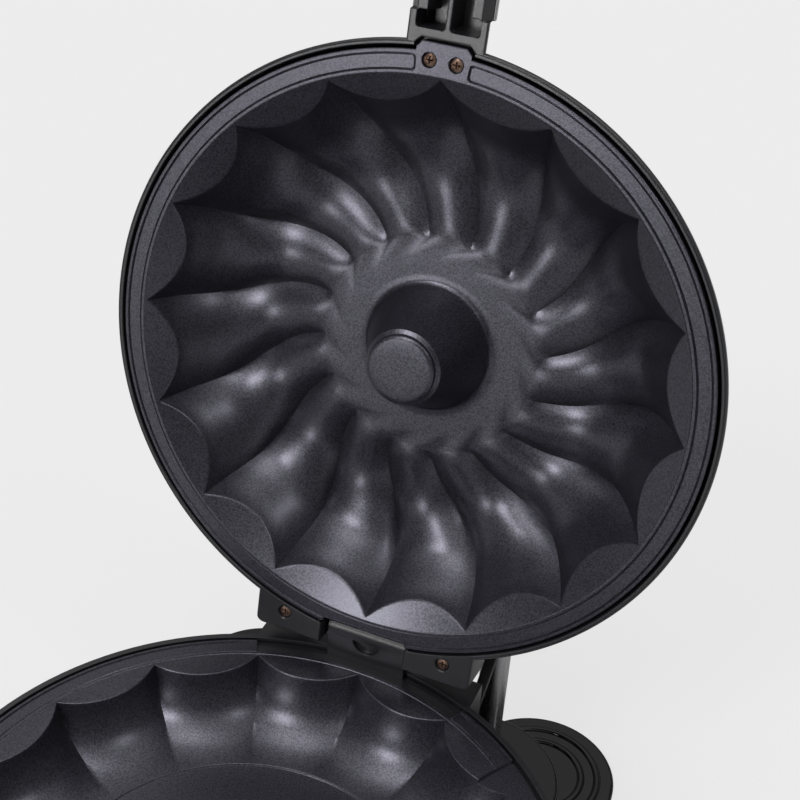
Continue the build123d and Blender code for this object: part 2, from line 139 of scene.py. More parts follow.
def finish_of(name, dark, light, rough, grain_mm, bump_mm=0.0, metallic=0.0, edge_mm=0.0, mottle_mm=40.0,
              stretch=(1, 1, 1), transmission=0.0, shine=0.5, tint="#ffffff", sparkle=0.0):
    """Procedural finish: the sum of a grain and a mottle mixes two colours, the grain alone moves the
    roughness and, where wanted, the height and the shine, and a bevel softens the edges. The tint colours
    the shine."""
    material = bpy.data.materials.new(name)
    material.use_nodes = True
    tree = material.node_tree
    tree.nodes.clear()
    place = add(tree, "ShaderNodeTexCoord", {}).outputs["Object"]
    if stretch != (1, 1, 1):
        place = add(tree, "ShaderNodeMapping", {"Vector": place, "Scale": stretch}).outputs["Vector"]
    grain = add(tree, "ShaderNodeTexNoise", {"Vector": place, "Scale": 1000 / grain_mm, "Detail": 2.0,
                                             "Roughness": 0.6}).outputs["Fac"]
    mottle = add(tree, "ShaderNodeTexNoise", {"Vector": place, "Scale": 1000 / mottle_mm,
                                              "Detail": 3.0}).outputs["Fac"]
    tone = add(tree, "ShaderNodeMath", {0: grain, 1: mottle}, operation="ADD").outputs[0]
    share = add(tree, "ShaderNodeMapRange", {"Value": tone, "From Min": TONE_SPAN[0],
                                             "From Max": TONE_SPAN[1]}).outputs[0]
    colour = add(tree, "ShaderNodeMix", {"Factor": share, 6: linear(dark), 7: linear(light)},
                 data_type="RGBA").outputs[2]
    gloss = add(tree, "ShaderNodeMapRange", {
        "Value": grain, "From Min": GLOSS_SPAN[0], "From Max": GLOSS_SPAN[1],
        "To Min": rough[0], "To Max": rough[1]}).outputs[0]
    level = shine
    if sparkle:
        level = add(tree, "ShaderNodeMapRange", {
            "Value": grain, "From Min": GLINT_SPAN[0], "From Max": GLINT_SPAN[1],
            "To Min": shine * (1 - sparkle), "To Max": shine * (1 + sparkle)}).outputs[0]
    normal = {}
    if edge_mm:
        soft = add(tree, "ShaderNodeBevel", {"Radius": edge_mm / 1000}, samples=4)
        normal = {"Normal": soft.outputs["Normal"]}
    if bump_mm:
        relief = add(tree, "ShaderNodeBump", {"Height": grain, "Distance": bump_mm / 1000, "Strength": 1.0,
                                              **normal})
        normal = {"Normal": relief.outputs["Normal"]}
    shader = add(tree, "ShaderNodeBsdfPrincipled", {
        "Base Color": colour, "Roughness": gloss, "Metallic": metallic, "Transmission Weight": transmission,
        "Specular IOR Level": level, "Specular Tint": linear(tint), **normal})
    add(tree, "ShaderNodeOutputMaterial", {"Surface": shader.outputs[0]})
    return material


# Grains under a few millimetres stand for real ones that are too fine to show, so they are drawn coarser
FINISHES = {
    # Non-stick coating sprayed on cast aluminium: charcoal with a violet cast, its fine spray grain drawn
    # coarser at 0.85 mm
    "coated_casting": finish_of(
        "non_stick_coated_casting", "#0d0d10", "#212026", (0.29, 0.37), grain_mm=0.85, mottle_mm=1.3,
        bump_mm=0.015, shine=0.95, sparkle=0.3, tint="#efedff"),
    # Moulded satin ABS: black, faint spark texture, softened edges that catch the light
    "satin_housing": finish_of(
        "moulded_satin_abs", "#131316", "#1e1e22", (0.28, 0.38), grain_mm=0.8, bump_mm=0.008, edge_mm=0.5,
        shine=0.7),
    # Moulded high-gloss ABS: deep black with a faint wavy gloss
    "gloss_black": finish_of(
        "moulded_gloss_abs", "#040405", "#080809", (0.04, 0.08), grain_mm=6.0, bump_mm=0.004, edge_mm=0.4,
        shine=0.35),
    # Polished stainless tube: grey, its reflections blurred by fine lengthwise polish lines
    "polished_steel": finish_of(
        "polished_stainless_tube", "#9a9a9c", "#b2b2b4", (0.22, 0.32), grain_mm=0.6, metallic=1.0,
        stretch=(1, 1, 0.05)),
    # Powder-painted sheet steel: dull black with fine orange peel
    "black_steel": finish_of(
        "powder_painted_steel", "#151515", "#1f1f1f", (0.35, 0.5), grain_mm=1.2, bump_mm=0.02, edge_mm=0.4),
    # Plain drawn steel pin: grey metal with drawing lines along X
    "plain_steel": finish_of(
        "drawn_steel_pin", "#8f8f8f", "#a9a9a8", (0.25, 0.4), grain_mm=0.4, metallic=1.0,
        stretch=(0.05, 1, 1)),
    # Bronzed steel screw: brown metal in two mottled shades
    "bronzed_screw": finish_of(
        "bronzed_steel_screw", "#3b2720", "#8b7263", (0.35, 0.5), grain_mm=0.9, metallic=0.85, mottle_mm=2.0,
        edge_mm=0.15),
    # Moulded rubber: matt black with a faint bloom
    "black_rubber": finish_of(
        "moulded_rubber", "#161616", "#222221", (0.65, 0.8), grain_mm=0.8, bump_mm=0.02, edge_mm=0.5),
    # Heater sheath: heat-tinted stainless in two straw greys
    "element_steel": finish_of(
        "heat_tinted_sheath", "#6d6257", "#8e8478", (0.3, 0.5), grain_mm=1.0, metallic=1.0, mottle_mm=12.0),
    # Pressed phenolic: pale cream with fine speckle
    "switch_body": finish_of(
        "pressed_phenolic", "#c4bda6", "#d6d0bc", (0.4, 0.55), grain_mm=0.6, bump_mm=0.01, edge_mm=0.3),
    # Rolled aluminium sheet: bright, with rolling lines along X
    "reflector_sheet": finish_of(
        "rolled_aluminium_sheet", "#b9babc", "#cfd0d2", (0.2, 0.35), grain_mm=0.7, metallic=1.0,
        stretch=(0.1, 1, 1)),
    # Tinted clear lens: amber
    "lamp_amber": finish_of(
        "tinted_lens", "#c04a12", "#d8661c", (0.05, 0.1), grain_mm=2.0, edge_mm=0.3, transmission=0.6),
}


def placed(points):
    """Local millimetres to metres in the frame on the table."""
    return (points + np.array([0, BOWL_AXIS_Y, RIM_HEIGHT])) / 1000


def opened(points):
    """Closed-lid millimetres to metres with the lid at rest: lift by the gap, then turn back about the hinge
    line."""
    y = points[..., 1] - HINGE_Y
    z = points[..., 2] + LID_GAP - HINGE_Z
    c, s = math.cos(OPEN_ANGLE), math.sin(OPEN_ANGLE)
    return placed(np.stack([points[..., 0], HINGE_Y + y * c + z * s, HINGE_Z - y * s + z * c], -1))


def skin(name, grid, body, slot, replaces=(), wrap_rows=False, wrap_columns=True, sharp=32):
    """Closed mesh over a grid of points: quads between neighbours, doubles merged, holes filled, faces turned
    outwards."""
    rows, columns = grid.shape[:2]
    index = np.arange(rows * columns).reshape(rows, columns)
    if wrap_rows:
        index = np.vstack([index, index[:1]])
    if wrap_columns:
        index = np.hstack([index, index[:, :1]])
    quads = np.stack([index[:-1, :-1], index[:-1, 1:], index[1:, 1:], index[1:, :-1]], -1).reshape(-1, 4)
    mesh = bpy.data.meshes.new(name)
    mesh.from_pydata(grid.reshape(-1, 3), [], quads)
    work = bmesh.new()
    work.from_mesh(mesh)
    bmesh.ops.remove_doubles(work, verts=work.verts, dist=3e-6)
    open_edges = [edge for edge in work.edges if edge.is_boundary]
    if open_edges:
        bmesh.ops.holes_fill(work, edges=open_edges)
    bmesh.ops.dissolve_degenerate(work, edges=work.edges, dist=1e-7)
    bmesh.ops.recalc_face_normals(work, faces=work.faces)
    work.to_mesh(mesh)
    work.free()
    mesh.shade_smooth()
    mesh.set_sharp_from_angle(angle=math.radians(sharp))
    piece = bpy.data.objects.new(name, mesh)
    bpy.context.scene.collection.objects.link(piece)
    mesh.materials.append(FINISHES[slot])
    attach(piece, body)
    if replaces:
        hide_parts(*replaces)


def spline(knots, values, at):
    """Natural cubic through the knots: second slopes from the usual three-term equations, zero at both
    ends."""
    knots, values = np.asarray(knots, float), np.asarray(values, float)
    gap, rise = np.diff(knots), np.diff(values)
    count = len(knots)
    lines, right = np.eye(count), np.zeros(count)
    for i in range(1, count - 1):
        lines[i, i - 1:i + 2] = gap[i - 1], 2 * (gap[i - 1] + gap[i]), gap[i]
        right[i] = 6 * (rise[i] / gap[i] - rise[i - 1] / gap[i - 1])
    bend = np.linalg.solve(lines, right)
    i = np.clip(np.searchsorted(knots, at) - 1, 0, count - 2)
    a, b, h = knots[i + 1] - at, at - knots[i], gap[i]
    return ((bend[i] * a ** 3 + bend[i + 1] * b ** 3) / (6 * h) + (values[i] / h - bend[i] * h / 6) * a
            + (values[i + 1] / h - bend[i + 1] * h / 6) * b)


def lobes(fold, crest, twist, u, s):
    """Point of the lobed wall: at depth parameter s the fold points are 22.5 degrees apart, and between them
    runs a circular arc through the crest point. With y along the chord, the arc stands off it by the sagitta
    h times 1 - 2 y^2 / ((c^2 + h^2) (1 + sqrt(1 - k^2 y^2))), c half the chord and k the curvature."""
    knots = np.arange(len(fold))
    rf, zf = spline(knots, [p[0] for p in fold], s), spline(knots, [p[1] for p in fold], s)
    rc, zc = spline(knots, [p[0] for p in crest], s), spline(knots, [p[1] for p in crest], s)
    turn = np.radians(spline(knots, twist, s))
    lobe = np.floor(u + 1e-9)
    across = 2 * (u - lobe) - 1
    half = rf * math.sin(LOBE_ANGLE / 2)
    out, down = rc - rf * math.cos(LOBE_ANGLE / 2), zc - zf
    span = half ** 2 + out ** 2 + down ** 2
    y = half * across
    k = 2 * np.sqrt(out ** 2 + down ** 2) / span
    share = 1 - 2 * y ** 2 / (span * (1 + np.sqrt(np.maximum(0, 1 - (k * y) ** 2))))
    x = rf * math.cos(LOBE_ANGLE / 2) + out * share
    angle = (lobe + 0.5) * LOBE_ANGLE + turn
    return np.stack([x * np.cos(angle) - y * np.sin(angle), x * np.sin(angle) + y * np.cos(angle),
                     zf + down * share], -1)


def mouth(fold, crest, twist, u, slope):
    """Parameter s at each column where the lobed wall meets the lunette, whose depth is slope times the
    distance in from the rim circle: the first change of sign along a fine row of samples, then one
    straight-line step."""
    s = np.linspace(0, 2.2, 700)[:, None] * np.ones_like(u)
    point = lobes(fold, crest, twist, u, s)
    over = point[..., 2] - slope * (RIM_RADIUS - np.hypot(point[..., 0], point[..., 1]))
    first = np.argmax(over > 0, 0)
    column = np.arange(len(u))
    before, after = over[first - 1, column], over[first, column]
    return s[first - 1, column] + (s[first, column] - s[first - 1, column]) * before / (before - after)


def ring(radius, depth, angle):
    """Row of points at a radius and depth, at the columns' angles."""
    return np.stack([radius * np.cos(angle), radius * np.sin(angle), depth + 0 * angle], -1)


def ray_reach(angle, corners):
    """Distance from the axis to an open polyline along each ray; infinity where a ray misses it."""
    reach = np.full(angle.shape, np.inf)
    c, s = np.cos(angle), np.sin(angle)
    for (x0, y0), (x1, y1) in zip(corners[:-1], corners[1:]):
        dx, dy = x1 - x0, y1 - y0
        cross = c * dy - s * dx
        safe = np.where(np.abs(cross) < 1e-9, 1e-9, cross)
        away = (x0 * dy - y0 * dx) / safe
        along = (x0 * s - y0 * c) / safe
        hit = (away > 0) & (along >= -1e-6) & (along <= 1 + 1e-6)
        reach = np.where(hit, np.minimum(reach, away), reach)
    return reach


def columns(per_lobe, degrees):
    """Column positions, in lobes from 0 to 16: even ones, and extra ones at the given angles."""
    even = np.arange(LOBES * per_lobe) / per_lobe
    extra = np.asarray(degrees, float) / LOBE_DEGREES % LOBES
    return np.unique(np.round(np.concatenate([even, extra]), 6))


def corner_away(dx, dy, corner):
    """Distance to a rounded corner, negative inside, from the distances past its centre along two axes: the
    straight distance where both are positive, otherwise the larger of the two, less the corner's radius."""
    return np.hypot(np.maximum(dx, 0), np.maximum(dy, 0)) + np.minimum(np.maximum(dx, dy), 0) - corner


def rectangle_away(x, y, x0, x1, y0, y1, corner):
    """Distance to a rounded rectangle, negative inside it."""
    dx = np.abs(x - (x0 + x1) / 2) - ((x1 - x0) / 2 - corner)
    dy = np.abs(y - (y0 + y1) / 2) - ((y1 - y0) / 2 - corner)
    return corner_away(dx, dy, corner)


def band_depth(radius, angle, screws):
    """Depth of the flange's sunk band: a rounded strip in radius and arc length, which stops beside the
    front, with a deeper groove along its edge. Round recesses are sunk at the screws."""
    arc = np.abs((angle + math.pi / 2 + math.pi) % (2 * math.pi) - math.pi) * ARC_RADIUS
    dx = np.abs(radius - (BAND_INNER + BAND_OUTER) / 2) - ((BAND_OUTER - BAND_INNER) / 2 - BAND_CORNER)
    dy = (BAND_STOP + BAND_CORNER) - arc
    away = corner_away(dx, dy, BAND_CORNER)
    depth = np.interp(-away, [-0.15, 0.15, 0.5, 0.8], [0, GROOVE_DEPTH, GROOVE_DEPTH, BAND_DEPTH])
    x, y = radius * np.cos(angle), radius * np.sin(angle)
    for sx, sy in screws:
        depth = np.maximum(depth, np.interp(np.hypot(x - sx, y - sy), [3.2, 3.5], [1.8, 0]))
    return depth


def mould(fold, crest, twist, u, slope, drop, floor, reach, screws, back, wall_rows):
    """Rows of a mould casting from the axis over its face, round the flange's edge and back to the axis:
    floor rings, lobed wall, rounded lip of each lunette, lunette, raised rim, banded flange, edge, back. The
    lip is a quadratic arc from the wall's last row over the edge point to a point on the lunette."""
    short_of_mouth, lip_width, lip_share = 0.07, 0.9, 0.45
    angle = u * LOBE_ANGLE
    rows = [ring(radius, depth, angle) for radius, depth in floor]
    end = len(fold) - 1
    start = mouth(fold, crest, twist, u, slope)
    lip = lobes(fold, crest, twist, u, start)
    share = np.linspace(0, 1, wall_rows)[:, None]
    wall = lobes(fold, crest, twist, u, end + (start + short_of_mouth - end) * share ** 0.9)
    rows += list(wall)
    width = np.maximum(RIM_RADIUS - np.hypot(lip[:, 0], lip[:, 1]), 0.01)
    rim = ring(RIM_RADIUS - 0.02, 0.02 * slope + drop, angle)
    before = wall[-1]
    after = lip + (rim - lip) * np.minimum(lip_width / width, lip_share)[:, None]
    for t in (0.2, 0.4, 0.6, 0.8, 1.0):
        rows.append((1 - t) ** 2 * before + 2 * t * (1 - t) * lip + t ** 2 * after)
    for t in (0.25, 0.5, 0.75, 1.0):
        rows.append(after + (rim - after) * t)
    edge = reach - 0.8
    for out, depth in ((0.05, 0.2), (0.25, 0.05), (0.5, 0.0)):
        rows.append(ring(np.minimum(RIM_RADIUS + out, edge), depth, angle))
    for radius in np.concatenate([np.arange(140.8, 151.3, 0.27), np.arange(151.5, 154.3, 0.3)]):
        clipped = np.minimum(radius, edge)
        rows.append(ring(clipped, band_depth(clipped, angle, screws), angle))
    for back_off, depth in ((0.8, 0), (0.35, 0.06), (0.1, 0.3), (0, 0.8), (0, FLANGE_THICKNESS)):
        rows.append(ring(reach - back_off, depth, angle))
    rows += [ring(radius, depth, angle) for radius, depth in back]
    return np.array(rows)


def rounded(corners, radius):
    """Closed outline whose corners are quadratic arcs that leave each edge at the given distance from the
    corner."""
    corners = np.asarray(corners, float)
    t = np.linspace(0, 1, 7)[:, None]
    parts = []
    for before, corner, after in zip(np.roll(corners, 1, 0), corners, np.roll(corners, -1, 0)):
        start = corner + (before - corner) * radius / np.linalg.norm(before - corner)
        end = corner + (after - corner) * radius / np.linalg.norm(after - corner)
        parts.append((1 - t) ** 2 * start + 2 * t * (1 - t) * corner + t ** 2 * end)
    return np.concatenate(parts)


def inset(outline, distance):
    """Outline moved inwards along its own normals."""
    following = np.roll(outline, -1, 0)
    along = following - np.roll(outline, 1, 0)
    length = np.maximum(np.linalg.norm(along, axis=1), 1e-9)[:, None]
    normal = np.stack([-along[:, 1], along[:, 0]], -1) / length
    area = np.sum(outline[:, 0] * following[:, 1] - following[:, 0] * outline[:, 1])
    return outline + normal * distance * (1 if area > 0 else -1)


def slab(outline, low, high, edge):
    """Rows of a plate: a flat outline between two levels, its edges quarter circles of the given radius,
    closed at the middle of both faces. The outline's plane is the first two coordinates."""
    quarter = np.linspace(0, math.pi / 2, 5)
    bevel = [(inset(outline, edge * (1 - math.sin(a))), edge * (1 - math.cos(a))) for a in quarter]
    middle = outline * 0 + outline.mean(0)
    rows = [(middle, low)]
    rows += [(flat, low + up) for flat, up in bevel]
    rows += [(flat, high - up) for flat, up in bevel[::-1]]
    rows.append((middle, high))
    return np.array([np.column_stack([flat, np.full(len(flat), level)]) for flat, level in rows])


def end_width(along, straight, start, corner):
    """Half width of a bar whose end is at lower values: full until the start of the end, then a quarter
    circle of the corner's radius."""
    past = np.clip(start - along, 0, corner)
    return straight + np.sqrt(np.clip(corner ** 2 - past ** 2, 0, corner ** 2))


def lid_mould():
    """Lid mould: core, flat ring, swirled lobes, lunettes, and a flange with front tab and hinge notch."""
    tab_edges = [-4.9, -4.87, -3.91, 3.91, 4.87, 4.9]
    near_tab = FRONT + np.concatenate([np.arange(-6.24, 6.25, 0.13), tab_edges])
    u = columns(COLUMNS_PER_LOBE, np.concatenate([near_tab, NOTCH_DEGREES]))
    angle = u * LOBE_ANGLE
    tab = ray_reach(angle, TAB)
    reach = np.where(np.isfinite(tab) & (tab > FLANGE_RADIUS), tab, FLANGE_RADIUS)
    reach = np.minimum(reach, ray_reach(angle, NOTCH))
    screws = [(side * TAB_SCREW_X, TAB_SCREW_Y) for word, side in SIDES]
    rows = mould(LID_FOLD, LID_CREST, LID_TWIST, u, slope=LID_LUNETTE_SLOPE, drop=0.0, floor=LID_CORE,
                 reach=reach, screws=screws, back=LID_BACK, wall_rows=62)
    skin("lid_mould", opened(rows), "lid", "coated_casting", ["lid_plate"])


def base_mould():
    """Base mould: smooth bowl, scalloped wall, flat lunettes, a flange cut away at the hinge, and a pouring
    lip on the right. The lip is where the casting is lowered to a depth that falls with the radius, up to an
    end whose angle grows with the radius."""
    well_start, well_end, well_radius = 67, 113, 142.4
    lip_start, lip_inner = 18, 113
    well_edges = [well_start - 0.1, well_start + 0.1, well_end - 0.1, well_end + 0.1]
    lip_edges = [lip_start - 0.05, lip_start + 0.05] + list(np.arange(38, 52, 0.15))
    u = columns(COLUMNS_PER_LOBE, well_edges + lip_edges + list(FRONT + np.arange(-6.2, 6.3, 0.4)))
    degrees = np.degrees(u * LOBE_ANGLE)
    reach = np.where((degrees > well_start) & (degrees < well_end), well_radius, FLANGE_RADIUS)
    back = [(np.minimum(radius, reach - 1), depth) for radius, depth in BOWL_BACK]
    rows = mould(BOWL_FOLD, BOWL_CREST, BOWL_TWIST, u, slope=BOWL_LUNETTE_SLOPE, drop=BOWL_LUNETTE_DROP,
                 floor=BOWL_FLOOR, reach=reach, screws=[], back=back, wall_rows=46)
    radius = np.hypot(rows[..., 0], rows[..., 1])
    lowered = np.interp(radius, [112, 118, 124, 129, 200], [18, 10, 5.2, 2.2, 2.2])
    lip_end = np.interp(radius, [lip_inner, 115.5, 121, 125, 130, 153], [36, 40, 46.4, 49.4, 50.8, 51.6])
    in_lip = (degrees > lip_start) & (degrees < lip_end) & (radius > lip_inner) & (rows[..., 2] < lowered)
    rows[..., 2] = -np.where(in_lip, lowered, rows[..., 2])
    skin("base_mould", placed(rows), "base", "coated_casting", ["base_plate"])


def hinge_well():
    """Floor of the housing between the mould's cut edge and the hinge shelf: a profile of radius and height,
    swept over the angles of the cut."""
    angle = np.radians(np.linspace(66.8, 113.2, 90))
    profile = [(142.5, -4.0), (142.5, -1.6), (143.2, -1.3), (147, -1.9), (152, -2.6), (152.7, -3.2),
               (152.7, -4.0)]
    rows = np.array([ring(radius, height, angle) for radius, height in profile])
    skin("hinge_well", placed(rows), "base", "satin_housing", wrap_rows=True, wrap_columns=False)


def lid_dome():
    """Lid dome, a turned profile: rolled rim with a step line, a side that leans in along a cubic through its
    knots, low crown, inner wall. The notch cuts its radius at the hinge, and it starts deeper at the tab."""
    crown, wall = 71, 1.6
    rim = [(152.7, 3.2), (152.6, 0.9), (152.75, 0.35), (153.1, 0.05), (153.8, 0), (154.15, 0.05),
           (154.3, 0.5), (154.5, 0.55), (154.65, 0.3), (154.95, 0.35), (155.3, 0.7), (155.45, 1.3),
           (155.4, 3.0)]
    knots = np.array([(155.4, 3.0), (153.6, 8.5), (148.8, 21), (139, 40), (124, 55.8), (100, 66.3),
                      (70, 70.2), (30, 70.8)])
    inside = [(0, 68.5), (70, 68.3), (97, 65), (121, 54.5), (136, 38.5), (145.8, 20.5), (150.6, 8.8),
              (152.2, 4.2)]
    number = np.arange(len(knots))
    along = np.linspace(0, len(knots) - 1, 64)[1:]
    side = np.stack([spline(number, knots[:, i], along) for i in (0, 1)], -1)
    side[:, 1] = np.minimum(side[:, 1], crown)
    angle = columns(16, [FRONT - 5.35, FRONT - 5.3, FRONT + 5.3, FRONT + 5.35] + NOTCH_DEGREES) * LOBE_ANGLE
    notch = ray_reach(angle, NOTCH)
    at_tab = np.abs((np.degrees(angle) - FRONT + 180) % 360 - 180) < 5.32
    rows = [ring(np.minimum(radius, notch), np.where(at_tab, max(depth, 5), depth), angle)
            for radius, depth in [*rim, *side, (0, crown)]]
    rows += [ring(np.minimum(radius, notch - wall), np.where(at_tab, max(depth, 6), depth), angle)
             for radius, depth in inside]
    skin("lid_dome", opened(np.array(rows)), "lid", "satin_housing", ["lid_housing"], wrap_rows=True)


def lid_grip():
    """Lid grip, one closed loop at each place along it. The open face is a depth over the plan: two pockets
    that narrow at a shoulder, with a rib between them, a seat with cut corners for the mould's tab, and a
    bevel beside the cover. The back is a bow of power 0.8 of the sine, and the sides lean in with it."""
    rib, wide_half, narrow_half = 1.3, 14.9, 10.2
    pocket_end, shoulder, pocket_front = -160.6, -168, -207
    seat_half, seat_front, seat_cut = 14.3, -156.4, 2.9
    cover_start, bevel_half = -167.4, 15
    y = np.arange(-214, -153.4, 0.42)[:, None]
    half = end_width(y, 12.5, -208, 6)
    x = np.linspace(-1, 1, 112)[None, :] * half
    wide, long = np.abs(x), y + 0 * x
    pocket = np.minimum(rectangle_away(wide, long, rib, wide_half, shoulder, pocket_end, 1.4),
                        rectangle_away(wide, long, rib, narrow_half, pocket_front, pocket_end, 1.4))
    depth = np.interp(-pocket, [-0.3, 0, 0.45], [0, 0.25, 15])
    seat = np.minimum(seat_half - wide, long - seat_front)
    seat = np.minimum(seat, (seat_half - seat_front - seat_cut - wide + long) / math.sqrt(2))
    depth = np.maximum(depth, np.interp(seat, [-0.3, 0, 0.4], [0, 0.2, 5]))
    covered = np.clip((cover_start - long) / 0.8, 0, 1)
    depth = np.maximum(depth, covered * np.clip((wide - bevel_half) * 1.3, 0, 5))
    depth = np.maximum(depth, np.clip(0.5 - (half - wide), 0, 0.5))
    front = np.stack([x, long, 0.3 + depth], -1)
    turn = np.linspace(0, math.pi, 27)[1:-1][None, :]
    level = np.maximum(1.5 + 20.5 * np.sin(turn) ** 0.8, 6 * covered[:, :1])
    back = np.stack([half * np.cos(turn) * (0.98 - 0.25 * np.sin(turn)), y + 0 * turn, level], -1)
    skin("lid_grip", opened(np.concatenate([front, back], 1)), "lid", "satin_housing", sharp=40)


def grip_cover():
    """Glossy cover round the back of the grip, one closed loop at each place along it: an outer bow of power
    0.7 of the sine from side to side, and an inner one a wall closer."""
    edge, height, wall = 5.2, 19.7, 1.1
    y = np.concatenate([[-215.2, -214.9], np.arange(-214.4, -168.3, 0.9), [-168.0]])[:, None]
    half = end_width(y, 13.2, -208.8, 6)
    turn = np.linspace(0, math.pi, 41)[None, :]
    bow = np.cos(turn) * (1 - 0.2 * np.sin(turn))
    rise = np.sin(turn) ** 0.7 + 0 * y
    outer = np.stack([half * bow, y + 0 * turn, edge + height * rise], -1)
    inner = np.stack([(half - wall) * bow, y + 0 * turn, edge + (height - 1.3) * rise], -1)
    rows = np.concatenate([outer, inner[:, ::-1]], 1)
    skin("grip_cover", opened(rows), "lid", "gloss_black", ["lid_handle_cover"], sharp=40)


def hinge_lug(word, side):
    """Hinge lug, one closed loop at each place along X: its flat face follows the flange's circle above and a
    straight edge below with a round outer corner, with a recess at the screw and a bevelled edge. Its back is
    part of an ellipse round the pin."""
    inner, outer, corner = 23.5, 60.5, 4
    circle, straight = 152.7, 158
    x = np.linspace(inner, outer, 90)[:, None]
    top = np.sqrt(circle ** 2 - x ** 2)
    bottom = end_width(-x, straight, corner - outer, corner)
    y = top + (bottom - top) * np.linspace(0, 1, 46)[None, :]
    x_all = x + 0 * y
    rim = np.minimum(np.minimum(bottom - y, x_all - inner), outer - x_all)
    depth = np.interp(rim, [0, 0.15, 0.6], [0.6, 0.18, 0])
    screw_away = np.hypot(x_all - LUG_SCREW_X, y - LUG_SCREW_Y)
    depth = np.maximum(depth, np.interp(screw_away, [3.4, 3.7], [1.9, 0]))
    front = np.stack([side * x_all, y, depth], -1)
    turn = np.linspace(0.1, 0.9 * math.pi, 16)[None, :]
    back = np.stack([side * (x + 0 * turn), HINGE_Y + (bottom - 155.6) * np.cos(turn),
                     15.3 + 8.4 * np.sin(turn) + 0 * x], -1)
    back[:, -1, 1] = top[:, 0] + 1
    skin("hinge_lug_" + word, opened(np.concatenate([front, back], 1)), "lid", "satin_housing", sharp=40)


def cross_screw(name, x, y, top, head, stands_for):
    """Cross-head screw with its head's middle at the given depth: the head is a paraboloid sunk in a cross of
    two slots by its signed distance, then come its edge and a short shank."""
    slot_half, slot_length = 0.34, 1.7
    angle = np.linspace(0, 2 * math.pi, 73)[:-1] + 0.4
    radius = np.linspace(0, 1, 26)[:, None] ** 0.8 * head
    px, py = radius * np.cos(angle), radius * np.sin(angle)
    slot_x = np.maximum(np.abs(px) - slot_half, np.abs(py) - slot_length)
    slot_y = np.maximum(np.abs(py) - slot_half, np.abs(px) - slot_length)
    crown = top + 0.55 * (radius / head) ** 2 + 0 * angle
    sunk = top + np.interp(-np.minimum(slot_x, slot_y), [-0.1, 0.15, slot_half], [0, 0.8, 1.2])
    face = np.stack([px, py, np.maximum(crown, sunk)], -1)
    shank = [ring(r, top + z, angle) for r, z in ((head, 1.3), (1.5, 1.7), (1.5, 4), (0, 4))]
    rows = np.concatenate([face, np.array(shank)]) + np.array([x, y, 0])
    skin(name, opened(rows), "lid", "bronzed_screw", [stands_for])


def latch_ear(word, side):
    """Ear beside the latch: a small rounded plate in plan, between two depths."""
    outline = rounded([(9.4, -218.3), (12.4, -218.3), (12.4, -211), (9.4, -211)], 0.8)
    skin("latch_ear_" + word, opened(slab(outline * [side, 1], 8.2, 15.8, 0.6)), "lid", "satin_housing")


def foot_beads(word, side):
    """Two ring beads in the grooves of a rear foot's disc: circles carried round its middle."""
    middle_x, middle_y, middle_z = side * 88.8, 203.7, -98.0
    disc_radius, bead_radius = 44.4, 2.4
    way = np.linspace(0, 2 * math.pi, 145)[:-1]
    turn = np.linspace(0, 2 * math.pi, 17)[:-1][:, None]
    for number, share in enumerate((0.57, 0.78)):
        across = disc_radius * share + bead_radius * np.cos(turn)
        height = middle_z + bead_radius * np.sin(turn) + 0 * way
        bead = np.stack([middle_x + across * np.cos(way), middle_y + across * np.sin(way), height], -1)
        skin(f"foot_bead_{word}_{number}", placed(bead), "base", "gloss_black", wrap_rows=True)


def post_stay(word, side):
    """Flat stay from the hinge shelf to a post: a rounded outline in y and z, between two places along X."""
    outline = rounded([(160.5, -22.6), (163.5, -22.6), (189.5, -5.4), (189.5, -2.2), (186, -3.4)], 0.5)
    rows = slab(outline, 55, 61, 0.5)[..., [2, 0, 1]] * [side, 1, 1]
    skin("post_stay_" + word, placed(rows), "base", "black_steel", ["post_tie_" + word])


def paper_floor():
    """Pale paper floor: the camera sees mostly its own even colour with a quarter of the lit paper, which
    keeps the shadow, and every other ray meets the lit paper."""
    material = bpy.data.materials.new("pale_paper_sweep")
    material.use_nodes = True
    tree = material.node_tree
    tree.nodes.clear()
    place = add(tree, "ShaderNodeTexCoord", {}).outputs["Object"]
    fibre = add(tree, "ShaderNodeTexNoise", {"Vector": place, "Scale": 400.0}).outputs["Fac"]
    paper = add(tree, "ShaderNodeMix", {"Factor": fibre, 6: linear("#eaeaea"), 7: linear("#ececec")},
                data_type="RGBA").outputs[2]
    lit = add(tree, "ShaderNodeBsdfDiffuse", {"Color": linear("#c2c2c2")}).outputs[0]
    even = add(tree, "ShaderNodeEmission", {"Color": paper, "Strength": 1.12}).outputs[0]
    seen = add(tree, "ShaderNodeLightPath", {}).outputs["Is Camera Ray"]
    share = add(tree, "ShaderNodeMath", {0: seen, 1: 0.75}, operation="MULTIPLY").outputs[0]
    both = add(tree, "ShaderNodeMixShader", {"Fac": share, 1: lit, 2: even})
    add(tree, "ShaderNodeOutputMaterial", {"Surface": both.outputs[0]})
    half = 12.0
    mesh = bpy.data.meshes.new("floor")
    corners = [(-half, -half, 0), (half, -half, 0), (half, half, 0), (-half, half, 0)]
    mesh.from_pydata(corners, [], [(0, 1, 2, 3)])
    mesh.materials.append(material)
    floor = bpy.data.objects.new("floor", mesh)
    bpy.context.scene.collection.objects.link(floor)


